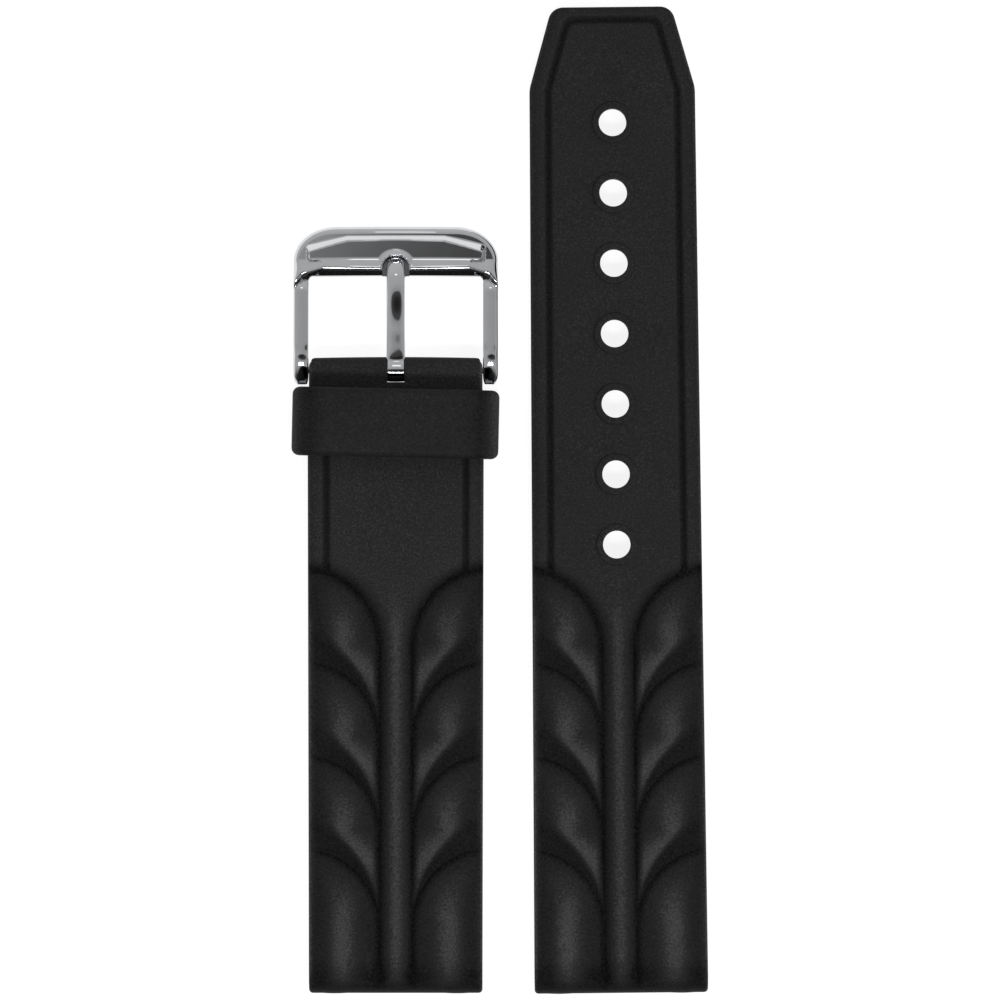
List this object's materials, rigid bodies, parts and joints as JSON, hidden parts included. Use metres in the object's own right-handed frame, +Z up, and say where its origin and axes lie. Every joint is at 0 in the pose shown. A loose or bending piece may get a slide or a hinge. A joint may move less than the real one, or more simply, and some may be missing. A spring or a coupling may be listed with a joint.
{
  "type": "rubber watch strap with tang buckle",
  "caption": "Two-part rubber dive strap with wheat-ear relief, polished tang buckle, loose keeper and a row of ringed holes.",
  "frame": {"origin": "middle of the whole strap's footprint, on the surface it lies on", "axes": "+Y along both halves, from the lug ends towards the buckle and the tip; +Z up out of the strap's face; +X across, from the buckle half towards the hole half"},
  "size_m": [0.048, 0.114, 0.0085],
  "materials": {
    "black_rubber": "matte moulded black rubber with a fine grain",
    "polished_steel": "mirror-polished stainless steel",
    "bar_steel": "drawn stainless steel, satin"
  },
  "bodies": {
    "buckle_half": {"buckle_strap": "black_rubber", "spring_bar_tube": "bar_steel", "spring_bar_spring": "bar_steel"},
    "frame": {"buckle_frame": "polished_steel"},
    "tongue": {"tang": "polished_steel"},
    "loop": {"keeper": "black_rubber"},
    "left_tip": {"spring_bar_tip_left": "bar_steel"},
    "right_tip": {"spring_bar_tip_right": "bar_steel"},
    "hole_half": {"hole_strap": "black_rubber"}
  },
  "joints": [
    {"name": "frame_swing", "type": "hinge", "parent": "buckle_half", "child": "frame", "pos_m": [-0.01202, 0.01497, 0.00295], "axis": [1, 0, 0], "range_deg": [-60, 30]},
    {"name": "tang_swing", "type": "hinge", "parent": "frame", "child": "tongue", "pos_m": [-0.01202, 0.01497, 0.00295], "axis": [1, 0, 0], "range_deg": [0, 55]},
    {"name": "keeper_slide", "type": "slide", "parent": "buckle_half", "child": "loop", "axis": [0, -1, 0], "range_m": [0, 0.012]},
    {"name": "left_tip_press", "type": "slide", "parent": "buckle_half", "child": "left_tip", "axis": [1, 0, 0], "range_m": [0, 0.0011], "stiffness_N_per_m": 1500, "deforming": ["spring_bar_spring"]},
    {"name": "right_tip_press", "type": "slide", "parent": "buckle_half", "child": "right_tip", "axis": [-1, 0, 0], "range_m": [0, 0.0011], "stiffness_N_per_m": 1500, "deforming": ["spring_bar_spring"]},
    {"name": "hole_half_lift", "type": "hinge", "parent": "buckle_half", "child": "hole_half", "pos_m": [0.01398, -0.05473, 0.00215], "axis": [0.9999, 0.0101, 0], "range_deg": [0, 75]}
  ]
}
